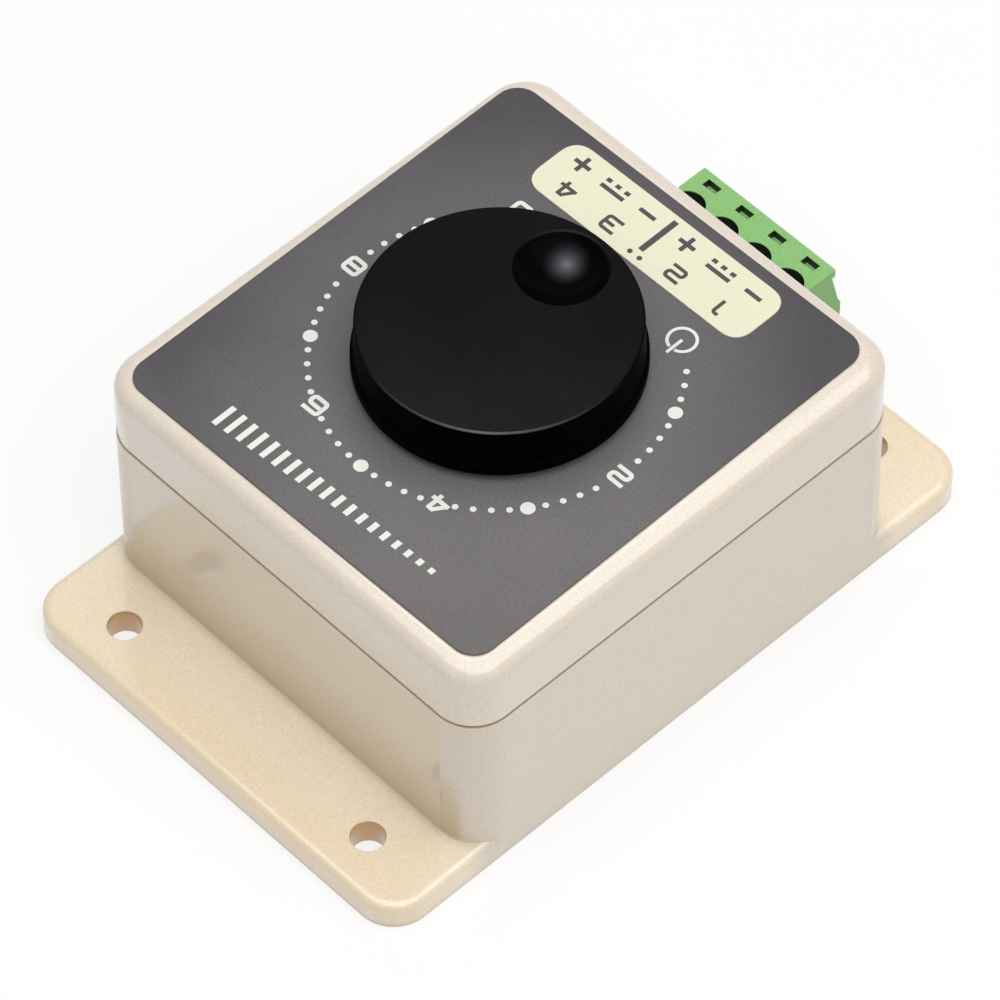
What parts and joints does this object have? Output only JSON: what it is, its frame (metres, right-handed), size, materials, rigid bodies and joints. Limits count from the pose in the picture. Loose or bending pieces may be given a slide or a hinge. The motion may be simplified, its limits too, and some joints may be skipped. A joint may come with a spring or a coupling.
{
  "type": "dc motor speed controller",
  "caption": "Box-shaped DC motor speed controller with end flanges, a large round dial knob with a finger dimple on a printed scale, and a pluggable screw terminal in one end wall.",
  "frame": {"origin": "centre of the base plate's underside", "axes": "+X to the right across the printed scale, +Y up the scale and away from the terminal, +Z out of the panel towards the user"},
  "size_m": [0.0584, 0.0876, 0.0412],
  "materials": {
    "case_plastic": "moulded ABS, satin, warm light grey",
    "panel_film": "printed polyester film, fine grain",
    "label_film": "pale printed label film",
    "knob_plastic": "moulded black plastic, satin",
    "terminal_plastic": "green moulded polyamide",
    "natural_plastic": "unpigmented acetal",
    "black_plastic": "black moulding compound",
    "laminate": "brown paper laminate",
    "board_laminate": "glass laminate under green varnish",
    "anodised_sink": "black anodised extrusion",
    "capacitor_sleeve": "shrunk dark sleeve",
    "resistor_lacquer": "blue lacquer",
    "film_box": "red moulded box",
    "brass": "bright brass",
    "zinc_steel": "zinc-plated steel",
    "tinned_metal": "tinned metal"
  },
  "bodies": {
    "case": {"lower_case": "case_plastic", "upper_cover": "case_plastic", "cover_screws": "zinc_steel", "face_panel": "panel_film", "terminal_label": "label_film", "pot_bushing": "brass", "pot_can": "zinc_steel", "pot_wafer": "laminate", "pot_switch": "black_plastic", "pot_pins": "tinned_metal", "pot_washer": "zinc_steel", "pot_nut": "zinc_steel", "circuit_board": "board_laminate", "board_screws": "zinc_steel", "header_housing": "terminal_plastic", "header_pins": "tinned_metal", "heat_sink": "anodised_sink", "transistor_frame": "tinned_metal", "transistor_body": "black_plastic", "sink_screw": "zinc_steel", "diode": "black_plastic", "diode_leads": "tinned_metal", "bulk_capacitors": "capacitor_sleeve", "bulk_leads": "tinned_metal", "timer_chip": "black_plastic", "timer_legs": "tinned_metal", "resistors": "resistor_lacquer", "resistor_leads": "tinned_metal", "film_capacitors": "film_box"},
    "knob": {"knob": "knob_plastic", "pot_shaft": "tinned_metal", "pot_rotor": "natural_plastic", "pot_wiper": "brass"},
    "plug": {"plug_housing": "terminal_plastic", "plug_contacts": "brass"},
    "screw_1": {"clamp_screw_1": "zinc_steel"},
    "cage_1": {"clamp_cage_1": "brass"},
    "screw_2": {"clamp_screw_2": "zinc_steel"},
    "cage_2": {"clamp_cage_2": "brass"},
    "screw_3": {"clamp_screw_3": "zinc_steel"},
    "cage_3": {"clamp_cage_3": "brass"},
    "screw_4": {"clamp_screw_4": "zinc_steel"},
    "cage_4": {"clamp_cage_4": "brass"}
  },
  "joints": [
    {"name": "knob_turn", "type": "hinge", "parent": "case", "child": "knob", "pos_m": [0, 0, 0.036], "axis": [0, 0, 1], "range_deg": [-300, 0]},
    {"name": "plug_pull", "type": "slide", "parent": "case", "child": "plug", "axis": [0, -1, 0], "range_m": [0, 0.008]},
    {"name": "clamp_screw_1_turn", "type": "hinge", "parent": "plug", "child": "screw_1", "pos_m": [-0.00762, -0.0357, 0.018], "axis": [0, 0, 1], "range_deg": [-1729, 0]},
    {"name": "clamp_cage_1_lift", "type": "slide", "parent": "plug", "child": "cage_1", "axis": [0, 0, 1], "range_m": [0, 0.0024]},
    {"name": "clamp_screw_2_turn", "type": "hinge", "parent": "plug", "child": "screw_2", "pos_m": [-0.00254, -0.0357, 0.018], "axis": [0, 0, 1], "range_deg": [-1729, 0]},
    {"name": "clamp_cage_2_lift", "type": "slide", "parent": "plug", "child": "cage_2", "axis": [0, 0, 1], "range_m": [0, 0.0024]},
    {"name": "clamp_screw_3_turn", "type": "hinge", "parent": "plug", "child": "screw_3", "pos_m": [0.00254, -0.0357, 0.018], "axis": [0, 0, 1], "range_deg": [-1729, 0]},
    {"name": "clamp_cage_3_lift", "type": "slide", "parent": "plug", "child": "cage_3", "axis": [0, 0, 1], "range_m": [0, 0.0024]},
    {"name": "clamp_screw_4_turn", "type": "hinge", "parent": "plug", "child": "screw_4", "pos_m": [0.00762, -0.0357, 0.018], "axis": [0, 0, 1], "range_deg": [-1729, 0]},
    {"name": "clamp_cage_4_lift", "type": "slide", "parent": "plug", "child": "cage_4", "axis": [0, 0, 1], "range_m": [0, 0.0024]}
  ],
  "couplings": [
    {"joint": "clamp_screw_1_turn", "follows": "clamp_cage_1_lift", "rad_per_m": -12566},
    {"joint": "clamp_screw_2_turn", "follows": "clamp_cage_2_lift", "rad_per_m": -12566},
    {"joint": "clamp_screw_3_turn", "follows": "clamp_cage_3_lift", "rad_per_m": -12566},
    {"joint": "clamp_screw_4_turn", "follows": "clamp_cage_4_lift", "rad_per_m": -12566}
  ]
}
